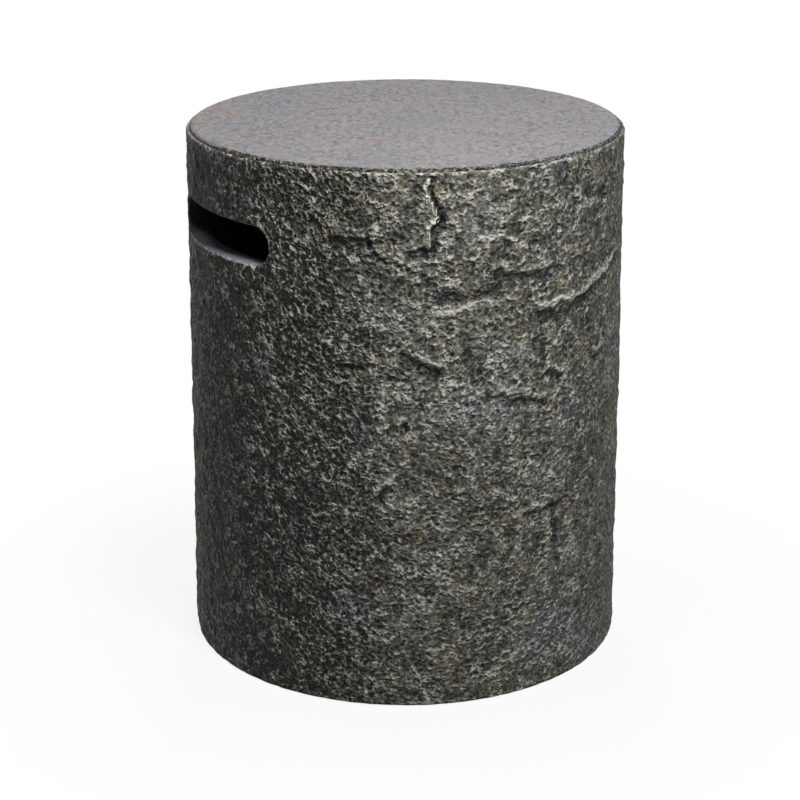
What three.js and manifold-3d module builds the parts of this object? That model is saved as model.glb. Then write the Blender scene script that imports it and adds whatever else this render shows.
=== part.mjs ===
// Propane tank cover table: a round hollow drum of cast faux stone with a smooth top slab.
// Millimetres, +Z up. The origin is on the floor at the drum's axis. The front faces -Y, the two
// hand holds face -X and +X, and the notch for the gas hose is at the back, +Y.
// A bearing is an angle round the axis, from the front (-Y) towards the right (+X).

import * as THREE from 'three';
import { mergeVertices } from 'three/addons/utils/BufferGeometryUtils.js';
import Module from 'manifold-3d';

const wasm = await Module();
wasm.setup();

// Driving dimensions
const OVERALL_HEIGHT = 500; // floor to table top
const HEAD_RADIUS = 203.7; // highest points of the stone at the rim
const MOULD_DRAFT = 5.1; // the floor end is wider by this
const FOOT_RADIUS = HEAD_RADIUS + MOULD_DRAFT;
const WALL_THICKNESS = 22;
const FOOT_STANDOFF = 1; // the pads hold the wall this far off the floor
const EDGE_BREAK = 1.2; // chamfer on the arrises of the drum

// Top slab, its mortar bed and the rim that takes them
const SLAB_THICKNESS = 22; // over the bore
const SLAB_EDGE_THICKNESS = 5; // where it lies on the rim
const SLAB_EDGE_ROUND = 2;
const SPIGOT_CLEARANCE = 2; // slab's thick middle to the bore
const SPIGOT_BREAK = 3;
const BOND_THICKNESS = 1;
const BOND_SET_BACK = 2; // mortar kept back from the bore and from the lip
const RIM_LIP_WIDTH = 2.2; // at the foot of its chamfer
const RIM_LIP_HEIGHT = 2.2;
const SLAB_GAP = 0.6; // dark joint between the slab's edge and the lip

// Hand holds
const HAND_HOLD_WIDTH = 157;
const HAND_HOLD_HEIGHT = 35;
const HAND_HOLD_CORNER = 14;
const HAND_HOLD_DROP = 79.5; // middle of the slot under the table top
const HAND_HOLD_LIP = 3; // rounding of both mouths

// Hose notch, an arch with its springing on the floor side
const NOTCH_WIDTH = 56;
const NOTCH_HEIGHT = 62; // crown above the floor
const NOTCH_LIP = 2;

// Feet
const FOOT_SET_BACK = 13; // pad centre inside the stone face
const PAD_RADIUS = 6;
const PAD_POCKET_DEPTH = 4;
const PAD_EDGE_BREAK = 0.6;
const FIT_GAP = 0.3; // round every piece let into another
const SCREW_HEAD_RADIUS = 3.1;
const SCREW_HEAD_HEIGHT = 2.2;
const SCREW_HEAD_RECESS = 0.9; // head above the floor
const SCREW_RADIUS = 1.75;
const SCREW_LENGTH = 22; // under the head
const SCREW_POINT = 4;
const PLUG_WALL = 1.6;
const PLUG_LENGTH = 24;

// Stone relief, all depths below the stone face
const SWELL_DEPTH = 2.4;
const SWELL_HEIGHT = 46;
const SWELLS_AROUND = 23;
const KNOB_DEPTH = 1.6;
const KNOB_HEIGHT = 19;
const KNOBS_AROUND = 58;
const EDGE_FADE = 9; // the relief evens out over this distance from each arris
const LEDGE_DROP = 4;
const LEDGE_LIP = 5; // width of the broken edge itself
const LEDGE_REACH = 34; // width of the hollow beside it
const LEDGE_END_FADE = 16;

// Main breaks of the stone. Each path runs along a broken edge, with the hollow on its left hand as
// seen from outside. A point is a bearing in degrees and a height as a share of the overall height;
// drop and reach are shares of LEDGE_DROP and LEDGE_REACH.
const LEDGE_SHARES = [
  { path: [[-25, 0.985], [-25.6, 0.96], [-24.6, 0.935], [-23.6, 0.92], [-25, 0.86]], drop: 0.9, reach: 0.8 },
  { path: [[-24.5, 0.85], [-29, 0.828], [-33, 0.838], [-37.5, 0.856], [-41, 0.878], [-50, 0.884]],
    drop: 0.7, reach: 0.7 },
  { path: [[6, 0.835], [-1, 0.84], [-8, 0.836], [-12, 0.826]], drop: 0.9, reach: 0.9 },
  { path: [[-1, 0.862], [-4, 0.884], [-9, 0.886], [-12, 0.868]], drop: -0.35, reach: 0.7 },
  { path: [[-26, 0.757], [-14, 0.752], [-6, 0.758]], drop: 0.6, reach: 1 },
  { path: [[-6, 0.735], [6, 0.73], [16, 0.742], [24, 0.766], [31, 0.782], [40, 0.786]], drop: 0.7, reach: 1.1 },
  { path: [[12, 0.71], [5, 0.712], [-1, 0.722]], drop: 0.55, reach: 0.8 },
  { path: [[26, 0.902], [22, 0.894], [18, 0.9]], drop: 0.7, reach: 0.6 },
  { path: [[8, 0.64], [4, 0.668], [1, 0.66]], drop: 0.6, reach: 0.7 },
  { path: [[-16.6, 0.215], [-16, 0.17], [-15.4, 0.135]], drop: -0.6, reach: 0.5 },
  { path: [[8.4, 0.362], [8.6, 0.33], [9.3, 0.29]], drop: 0.6, reach: 0.6 },
  { path: [[14, 0.366], [6, 0.362], [0, 0.364]], drop: 0.5, reach: 0.6 },
  { path: [[-39.5, 0.412], [-33, 0.446]], drop: 0.45, reach: 0.8 },
  { path: [[150, 0.9], [141, 0.872], [128, 0.88], [117, 0.866]], drop: 0.8, reach: 0.9 },
  { path: [[176, 0.64], [170, 0.56], [172, 0.5]], drop: 0.6, reach: 0.8 },
  { path: [[-122, 0.62], [-134, 0.596], [-148, 0.61], [-160, 0.588]], drop: 0.75, reach: 1 },
  { path: [[122, 0.36], [110, 0.34], [98, 0.35]], drop: 0.7, reach: 0.9 },
  { path: [[-98, 0.3], [-108, 0.27], [-118, 0.286]], drop: 0.6, reach: 0.9 },
];

// Mesh density
const DRUM_COLUMNS = 96;
const DRUM_ROWS = 38;
const BOND_COLUMNS = 48;
const ROUND_STEPS = 3;
const CORNER_STEPS = 4;
const SPAN_STEPS = 6;
const LIP_STEPS = 2;
const FOOT_SIDES = 16;
const SCREW_SIDES = 12;

// Shared construction values
const OVERRUN = 6; // how far a cutter runs past the material
const WELD_DISTANCE = 0.001;

// Heights and radii that several pieces share
const WALL_BOTTOM = FOOT_STANDOFF;
const BOND_TOP = OVERALL_HEIGHT - SLAB_EDGE_THICKNESS;
const SEAT_HEIGHT = BOND_TOP - BOND_THICKNESS;
const RIM_TOP = SEAT_HEIGHT + RIM_LIP_HEIGHT;
const MEAN_DEPTH = (SWELL_DEPTH + KNOB_DEPTH) / 2;
const REBATE_RADIUS = faceRadius(RIM_TOP) - MEAN_DEPTH - RIM_LIP_WIDTH;
const SEAT_BORE_RADIUS = boreRadius(SEAT_HEIGHT);
const POCKET_ROOF = WALL_BOTTOM + PAD_POCKET_DEPTH;
const PLUG_BORE_RADIUS = SCREW_RADIUS + FIT_GAP;
const PLUG_RADIUS = PLUG_BORE_RADIUS + PLUG_WALL;
const HEAD_SEAT = SCREW_HEAD_RECESS + SCREW_HEAD_HEIGHT;

const FEET = [
  ['front_left', -45],
  ['front_right', 45],
  ['back_right', 135],
  ['back_left', -135],
];

// Materials
const stone = new THREE.MeshStandardMaterial({ color: 0x4c4b46, roughness: 0.92, metalness: 0 });
const smoothStone = new THREE.MeshStandardMaterial({ color: 0x989494, roughness: 0.85, metalness: 0 });
const mortar = new THREE.MeshStandardMaterial({ color: 0x34332f, roughness: 0.95, metalness: 0 });
const rubber = new THREE.MeshStandardMaterial({ color: 0x1c1c1c, roughness: 0.8, metalness: 0 });
const nylon = new THREE.MeshStandardMaterial({ color: 0xcfccc0, roughness: 0.5, metalness: 0 });
const steel = new THREE.MeshStandardMaterial({ color: 0xa7abae, roughness: 0.35, metalness: 1 });

// Radius of the highest points of the stone face at a height
function faceRadius(height) {
  return THREE.MathUtils.mapLinear(height, FOOT_STANDOFF, OVERALL_HEIGHT, FOOT_RADIUS, HEAD_RADIUS);
}

function boreRadius(height) {
  return faceRadius(height) - WALL_THICKNESS;
}

// Pseudo-random value from 0 to 1 for one corner of the noise lattice
function latticeValue(column, row) {
  const wave = Math.sin(column * 127.1 + row * 311.7) * 43758.5453;
  return wave - Math.floor(wave);
}

// Smooth noise from 0 to 1, which closes on itself after one turn round the drum
function turnNoise(bearing, height, cellsAround, cellHeight) {
  const across = (bearing / (2 * Math.PI) + 1) * cellsAround;
  const up = height / cellHeight;
  const column = Math.floor(across);
  const row = Math.floor(up);
  const acrossShare = THREE.MathUtils.smoothstep(across - column, 0, 1);
  const upShare = THREE.MathUtils.smoothstep(up - row, 0, 1);
  const corner = (i, j) => latticeValue((column + i) % cellsAround, row + j);
  const lower = THREE.MathUtils.lerp(corner(0, 0), corner(1, 0), acrossShare);
  const upper = THREE.MathUtils.lerp(corner(0, 1), corner(1, 1), acrossShare);
  return THREE.MathUtils.lerp(lower, upper, upShare);
}

// Place of a ledge's point on the unrolled stone face
function unroll([degrees, heightShare]) {
  const height = heightShare * OVERALL_HEIGHT;
  return new THREE.Vector2(THREE.MathUtils.degToRad(degrees) * FOOT_RADIUS, height);
}

// Signed distance from a point to a path, positive on the path's left hand, and how far the point
// lies beyond the path's ends
function measureToPath(point, path) {
  let nearest = { distance: Infinity, side: 1, beyond: 0 };
  for (let i = 0; i + 1 < path.length; i += 1) {
    const along = path[i + 1].clone().sub(path[i]);
    const offset = point.clone().sub(path[i]);
    const share = offset.dot(along) / along.lengthSq();
    const inside = THREE.MathUtils.clamp(share, 0, 1);
    const distance = offset.clone().addScaledVector(along, -inside).length();
    if (distance < nearest.distance) {
      const before = i === 0 ? Math.max(-share, 0) : 0;
      const after = i + 2 === path.length ? Math.max(share - 1, 0) : 0;
      const side = Math.sign(along.cross(offset)) || 1;
      nearest = { distance, side, beyond: (before + after) * along.length() };
    }
  }
  return nearest;
}

const LEDGES = LEDGE_SHARES.map(({ path, drop, reach }) => ({
  path: path.map(unroll),
  drop: drop * LEDGE_DROP,
  reach: reach * LEDGE_REACH,
}));

// Depth of one break of the stone: steepest at the ledge's edge, rising back over its reach
function ledgeDepth(point, { path, drop, reach }) {
  const { distance, side, beyond } = measureToPath(point, path);
  if (side * Math.sign(drop) < 0) {
    return 0;
  }
  const edge = THREE.MathUtils.smoothstep(distance, 0, LEDGE_LIP);
  const rise = THREE.MathUtils.smoothstep(distance, LEDGE_LIP, reach);
  const fade = THREE.MathUtils.smoothstep(beyond, 0, LEDGE_END_FADE);
  return Math.abs(drop) * edge * (1 - rise) * (1 - fade);
}

// Depth of the split stone relief below the stone face
function stoneDepth(bearing, height) {
  const swell = SWELL_DEPTH * turnNoise(bearing, height, SWELLS_AROUND, SWELL_HEIGHT);
  const knob = KNOB_DEPTH * turnNoise(bearing, height, KNOBS_AROUND, KNOB_HEIGHT);
  const point = new THREE.Vector2(bearing * FOOT_RADIUS, height);
  const breaks = LEDGES.reduce((sum, ledge) => sum + ledgeDepth(point, ledge), 0);
  const toArris = Math.min(height - WALL_BOTTOM, RIM_TOP - height);
  const fade = THREE.MathUtils.smoothstep(toArris, 0, EDGE_FADE);
  return THREE.MathUtils.lerp(MEAN_DEPTH, swell + knob + breaks, fade);
}

// Position-only geometry with shared vertices and no collapsed triangles
function weld(geometry) {
  geometry.deleteAttribute('normal');
  geometry.deleteAttribute('uv');
  const welded = mergeVertices(geometry, WELD_DISTANCE);
  const index = welded.index.array;
  const kept = [];
  for (let i = 0; i < index.length; i += 3) {
    const [a, b, c] = index.slice(i, i + 3);
    if (a !== b && b !== c && c !== a) {
      kept.push(a, b, c);
    }
  }
  welded.setIndex(kept);
  return welded;
}

// Solid turned about the vertical axis from an outline of [radius, height] points, listed upwards
// along the outside
function turned(outline, sides) {
  const points = outline.map(([radius, height]) => new THREE.Vector2(radius, height));
  const geometry = new THREE.LatheGeometry(points, sides);
  geometry.rotateX(Math.PI / 2);
  return weld(geometry);
}

function upright(radius, bottom, top, sides) {
  return turned([[0, bottom], [radius, bottom], [radius, top], [0, top]], sides);
}

function toManifold(geometry) {
  const vertProperties = new Float32Array(geometry.attributes.position.array);
  const triVerts = new Uint32Array(geometry.index.array);
  return new wasm.Manifold(new wasm.Mesh({ numProp: 3, vertProperties, triVerts }));
}

function toGeometry(manifold) {
  const mesh = manifold.getMesh();
  const geometry = new THREE.BufferGeometry();
  geometry.setAttribute('position', new THREE.BufferAttribute(new Float32Array(mesh.vertProperties), 3));
  geometry.setIndex(new THREE.BufferAttribute(new Uint32Array(mesh.triVerts), 1));
  return geometry;
}

function cutAll(geometry, cutters) {
  const cut = cutters.reduce((solid, cutter) => solid.subtract(toManifold(cutter)), toManifold(geometry));
  return toGeometry(cut);
}

// Rounded rectangle of [across, up] points, anticlockwise, grown on all sides by an offset
function roundedOutline({ width, height, corner, centre }, offset) {
  const halfSpan = width / 2 - corner;
  const halfRise = height / 2 - corner;
  const points = [];
  for (let quarter = 0; quarter < 4; quarter += 1) {
    const right = quarter === 0 || quarter === 3;
    const high = quarter < 2;
    for (let step = 0; step <= CORNER_STEPS; step += 1) {
      const angle = (quarter + step / CORNER_STEPS) * (Math.PI / 2);
      const across = (right ? halfSpan : -halfSpan) + (corner + offset) * Math.cos(angle);
      const up = (high ? halfRise : -halfRise) + (corner + offset) * Math.sin(angle);
      points.push([across, centre + up]);
    }
    if (quarter % 2 === 0) {
      const up = high ? halfRise + corner + offset : -halfRise - corner - offset;
      for (let step = 1; step < SPAN_STEPS && halfSpan > 0; step += 1) {
        const across = THREE.MathUtils.lerp(halfSpan, -halfSpan, step / SPAN_STEPS);
        points.push([high ? across : -across, centre + up]);
      }
    }
  }
  return points;
}

// Closed skin through rings of points, the first ring innermost, each listed anticlockwise as seen
// from outside the drum
function loft(rings) {
  const count = rings[0].length;
  const last = (rings.length - 1) * count;
  const indices = [];
  for (let ring = 0; ring + 1 < rings.length; ring += 1) {
    for (let i = 0; i < count; i += 1) {
      const a = ring * count + i;
      const b = ring * count + ((i + 1) % count);
      indices.push(a, b, b + count, a, b + count, a + count);
    }
  }
  for (let i = 1; i + 1 < count; i += 1) {
    indices.push(0, i + 1, i, last, last + i, last + i + 1);
  }
  const geometry = new THREE.BufferGeometry();
  geometry.setAttribute('position', new THREE.Float32BufferAttribute(rings.flat(2), 3));
  geometry.setIndex(indices);
  return weld(geometry);
}

// Cutter for an opening through the wall with rounded mouths: rings that follow the wall's curve,
// between a flat end in the bore and a flat end outside
function mouthCutter(outline, lip, bearing) {
  const outside = faceRadius(outline.centre) - MEAN_DEPTH;
  const inside = boreRadius(outline.centre);
  const halfWidth = outline.width / 2 + lip;
  const wrapped = (radius) => (across) => Math.sqrt(radius ** 2 - across ** 2);
  const rounded = (angle, face, inward) => [
    wrapped(face + inward * lip * (1 - Math.sin(angle))),
    lip * (1 - Math.cos(angle)),
  ];
  const innerMouth = [];
  const outerMouth = [];
  for (let step = 0; step <= LIP_STEPS; step += 1) {
    const angle = (step / LIP_STEPS) * (Math.PI / 2);
    innerMouth.unshift(rounded(angle, inside, 1));
    outerMouth.push(rounded(angle, outside, -1));
  }
  const boreEnd = [() => Math.sqrt(inside ** 2 - halfWidth ** 2) - OVERRUN, lip];
  const outsideEnd = [() => FOOT_RADIUS + OVERRUN, lip];
  const sections = [boreEnd, ...innerMouth, ...outerMouth, outsideEnd];
  const rings = sections.map(([distance, offset]) =>
    roundedOutline(outline, offset).map(([across, up]) => [distance(across), across, up]));
  const geometry = loft(rings);
  geometry.rotateZ(bearing - Math.PI / 2);
  return geometry;
}

const HAND_HOLD = {
  width: HAND_HOLD_WIDTH,
  height: HAND_HOLD_HEIGHT,
  corner: HAND_HOLD_CORNER,
  centre: OVERALL_HEIGHT - HAND_HOLD_DROP,
};

// The arch is the upper end of a slot with round ends, whose lower end lies below the wall
const NOTCH = {
  width: NOTCH_WIDTH,
  height: NOTCH_HEIGHT + NOTCH_WIDTH + OVERRUN,
  corner: NOTCH_WIDTH / 2,
  centre: (NOTCH_HEIGHT - NOTCH_WIDTH - OVERRUN) / 2,
};

function footPlace(degrees) {
  const bearing = THREE.MathUtils.degToRad(degrees);
  const radius = FOOT_RADIUS - FOOT_SET_BACK;
  return [radius * Math.sin(bearing), -radius * Math.cos(bearing)];
}

// Solid drum whose outside is pushed in by the stone relief
function stoneDrum() {
  const outline = [[0, WALL_BOTTOM], [faceRadius(WALL_BOTTOM) - EDGE_BREAK, WALL_BOTTOM]];
  for (let row = 0; row <= DRUM_ROWS; row += 1) {
    const height = THREE.MathUtils.lerp(WALL_BOTTOM + EDGE_BREAK, RIM_TOP - EDGE_BREAK, row / DRUM_ROWS);
    outline.push([faceRadius(height), height]);
  }
  outline.push([faceRadius(RIM_TOP) - EDGE_BREAK, RIM_TOP], [0, RIM_TOP]);
  const drum = turned(outline, DRUM_COLUMNS);
  const position = drum.attributes.position;
  for (let i = 0; i < position.count; i += 1) {
    const [x, y, z] = position.array.slice(i * 3, i * 3 + 3);
    const share = 1 - stoneDepth(Math.atan2(x, -y), z) / faceRadius(z);
    position.setXYZ(i, x * share, y * share, z);
  }
  return drum;
}

// Everything inside the wall: the drafted bore and the wider rebate that takes the slab
function drumCore() {
  const below = WALL_BOTTOM - OVERRUN;
  const above = RIM_TOP + OVERRUN;
  return turned([
    [0, below], [boreRadius(below), below], [SEAT_BORE_RADIUS, SEAT_HEIGHT],
    [REBATE_RADIUS, SEAT_HEIGHT], [REBATE_RADIUS, above], [0, above],
  ], DRUM_COLUMNS);
}

function footHoles(degrees) {
  const [x, y] = footPlace(degrees);
  const pocket = upright(PAD_RADIUS + FIT_GAP, WALL_BOTTOM - OVERRUN, POCKET_ROOF, FOOT_SIDES);
  const plugTop = POCKET_ROOF + PLUG_LENGTH + FIT_GAP;
  const plugHole = upright(PLUG_RADIUS + FIT_GAP, WALL_BOTTOM, plugTop, SCREW_SIDES);
  return [pocket, plugHole].map((hole) => hole.translate(x, y, 0));
}

function drumWall() {
  const cutters = [
    drumCore(),
    mouthCutter(HAND_HOLD, HAND_HOLD_LIP, -Math.PI / 2),
    mouthCutter(HAND_HOLD, HAND_HOLD_LIP, Math.PI / 2),
    mouthCutter(NOTCH, NOTCH_LIP, Math.PI),
    ...FEET.flatMap(([, degrees]) => footHoles(degrees)),
  ];
  return cutAll(stoneDrum(), cutters);
}

// Smooth slab with a rounded edge, rebated underneath so that its middle sits in the bore
function topSlab() {
  const radius = REBATE_RADIUS - SLAB_GAP;
  const underside = OVERALL_HEIGHT - SLAB_THICKNESS;
  const spigot = SEAT_BORE_RADIUS - SPIGOT_CLEARANCE;
  const outline = [
    [0, underside], [spigot - SPIGOT_BREAK, underside], [spigot, underside + SPIGOT_BREAK],
    [spigot, BOND_TOP], [radius, BOND_TOP],
  ];
  for (let step = 0; step <= ROUND_STEPS; step += 1) {
    const angle = (step / ROUND_STEPS) * (Math.PI / 2);
    const inward = SLAB_EDGE_ROUND * (1 - Math.cos(angle));
    const down = SLAB_EDGE_ROUND * (1 - Math.sin(angle));
    outline.push([radius - inward, OVERALL_HEIGHT - down]);
  }
  outline.push([0, OVERALL_HEIGHT]);
  return turned(outline, DRUM_COLUMNS);
}

// Ring of mortar that fills the seat under the slab's edge
function bondBed() {
  const inner = SEAT_BORE_RADIUS + BOND_SET_BACK;
  const outer = REBATE_RADIUS - BOND_SET_BACK;
  return turned([
    [inner, SEAT_HEIGHT], [outer, SEAT_HEIGHT], [outer, BOND_TOP], [inner, BOND_TOP],
    [inner, SEAT_HEIGHT],
  ], BOND_COLUMNS);
}

// Rubber disc with a counterbore that hides the screw head
function footPad() {
  const hole = SCREW_RADIUS + FIT_GAP;
  const counterbore = SCREW_HEAD_RADIUS + FIT_GAP;
  return turned([
    [counterbore, 0], [PAD_RADIUS - PAD_EDGE_BREAK, 0], [PAD_RADIUS, PAD_EDGE_BREAK],
    [PAD_RADIUS, POCKET_ROOF], [hole, POCKET_ROOF], [hole, HEAD_SEAT], [counterbore, HEAD_SEAT],
    [counterbore, 0],
  ], FOOT_SIDES);
}

// Pan head screw, point upwards
function footScrew() {
  const tip = HEAD_SEAT + SCREW_LENGTH;
  const crown = SCREW_HEAD_RADIUS * Math.cos(Math.PI / 4);
  return turned([
    [0, SCREW_HEAD_RECESS], [crown, SCREW_HEAD_RECESS],
    [SCREW_HEAD_RADIUS, SCREW_HEAD_RECESS + SCREW_HEAD_HEIGHT / 2], [SCREW_HEAD_RADIUS, HEAD_SEAT],
    [SCREW_RADIUS, HEAD_SEAT], [SCREW_RADIUS, tip - SCREW_POINT], [0, tip],
  ], SCREW_SIDES);
}

// Nylon anchor cast into the wall above the pad
function footPlug() {
  const top = POCKET_ROOF + PLUG_LENGTH;
  return turned([
    [PLUG_BORE_RADIUS, POCKET_ROOF], [PLUG_RADIUS, POCKET_ROOF], [PLUG_RADIUS, top],
    [PLUG_BORE_RADIUS, top], [PLUG_BORE_RADIUS, POCKET_ROOF],
  ], SCREW_SIDES);
}

function piece(name, geometry, material) {
  const mesh = new THREE.Mesh(geometry, material);
  mesh.name = name;
  return mesh;
}

function foot([place, degrees]) {
  const [x, y] = footPlace(degrees);
  const group = new THREE.Group();
  group.position.set(x, y, 0);
  group.add(
    piece(`foot_pad_${place}`, footPad(), rubber),
    piece(`foot_screw_${place}`, footScrew(), steel),
    piece(`foot_plug_${place}`, footPlug(), nylon),
  );
  return group;
}

const tankCoverTable = new THREE.Group();
tankCoverTable.name = 'tank_cover_table';
tankCoverTable.add(
  piece('drum_wall', drumWall(), stone),
  piece('top_slab', topSlab(), smoothStone),
  piece('bond_bed', bondBed(), mortar),
  ...FEET.map(foot),
);

export default tankCoverTable;
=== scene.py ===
import math

import bmesh
import bpy
import numpy as np
from bpy.props import FloatProperty, FloatVectorProperty, IntProperty, PointerProperty
from mathutils import Matrix, Vector


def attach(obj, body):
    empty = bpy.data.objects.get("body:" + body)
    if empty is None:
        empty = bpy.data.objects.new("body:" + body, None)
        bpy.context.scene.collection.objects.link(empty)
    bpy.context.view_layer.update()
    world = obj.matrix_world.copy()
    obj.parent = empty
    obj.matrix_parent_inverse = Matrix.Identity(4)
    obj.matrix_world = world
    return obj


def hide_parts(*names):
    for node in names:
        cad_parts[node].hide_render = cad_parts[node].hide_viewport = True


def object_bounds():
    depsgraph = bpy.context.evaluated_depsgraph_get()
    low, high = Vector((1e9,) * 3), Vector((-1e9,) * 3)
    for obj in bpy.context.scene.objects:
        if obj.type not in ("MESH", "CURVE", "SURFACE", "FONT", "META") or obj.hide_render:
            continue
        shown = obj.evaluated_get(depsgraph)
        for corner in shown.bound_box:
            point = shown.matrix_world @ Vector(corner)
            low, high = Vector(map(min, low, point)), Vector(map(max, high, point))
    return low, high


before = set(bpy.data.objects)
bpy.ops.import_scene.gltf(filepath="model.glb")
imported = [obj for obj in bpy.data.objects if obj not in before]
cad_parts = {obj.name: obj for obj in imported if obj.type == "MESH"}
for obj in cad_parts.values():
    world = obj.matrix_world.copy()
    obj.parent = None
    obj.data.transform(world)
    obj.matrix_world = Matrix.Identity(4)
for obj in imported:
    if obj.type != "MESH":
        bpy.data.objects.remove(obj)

bl_info = {
    "name": "Propane tank cover table",
    "version": (1, 0, 0),
    "blender": (4, 5, 0),
    "location": "3D View > Sidebar > Tank cover",
    "description": "Builds the split-stone drum, its smooth top, its feet and the studio",
    "category": "Object",
}

CAD_LOW, CAD_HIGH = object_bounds()

# A bearing is an angle round the drum's axis, from the front (-Y) towards the right (+X).
TURN = 2 * math.pi
FEET = {"front_left": -45, "front_right": 45, "back_right": 135, "back_left": -135}
MM = 0.001
HAIR = 0.00001  # keeps a straight side between two round corners that would meet
FLOAT_BEARING = math.radians(31)  # the float's strokes on the top run this way
SEAM_BEARING = math.radians(-39.5)  # the mould's seam, beyond which the stone is a shade darker
WASHED_BEARING = math.radians(-118)  # the rim is worn to the top's colour round here

# Uneven places: cells in one turn, and the height of a cell in metres
WANDER_CELLS, WANDER_FINE_CELLS = (127, 0.0103), (223, 0.0060)
LEDGE_CELLS = (97, 0.013)
BORE_CELLS = (60, 0.03)
BRUSH_CELLS = (210, 0.002)
TROWEL_CELLS, TROWEL_FINE_CELLS = (7, 0.045), (19, 0.019)
SHOULDER_CELLS = (150, 0.004)
MORTAR_CELLS = (90, 1.0)
UNEVENNESS = 1.2 * MM  # how much the bore and the slab's shoulder vary

# Wear at the rim: it starts at the first distance below the lip and is full at the second
RIM_BRUSHED = (0.007, 0.002)
RIM_WASHED = (0.004, 0.001)
RIM_DRIPS = (0.022, 0.004)

# Openings and pockets
FIT_GAP = 0.3 * MM
SMALL_BREAK = 0.3 * MM
MOUTH_STEPS = 5
MOUTH_FLARE = math.radians(60)
FLARE_RUN = 0.0025
INNER_OVERRUN = 0.02
OUTER_OVERRUN = 0.03
NOTCH_OVERRUN = 0.006  # the notch's cutter reaches this far below the floor
FLAT_SPACING = 0.004  # between cuts across level faces and along a mouth's straight sides

# Soft boxes: bearing and rise in degrees, then distance and diameter in metres
LAMPS = {"key": (-9, 54, 1.55, 0.5), "back": (150, 32, 1.7, 0.6), "fill": (-155, 58, 1.9, 0.3)}
LAMP_AIM_HEIGHT = 0.25
SENSOR_WIDTH = 36

# Distances from the axis between which the floor's look changes
FLOOR_CONTACT = (0.192, 0.205)  # from its own colour, under the wall, to its share of white
FLOOR_FADE = (0.2, 0.55)  # from that share to plain white

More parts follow.
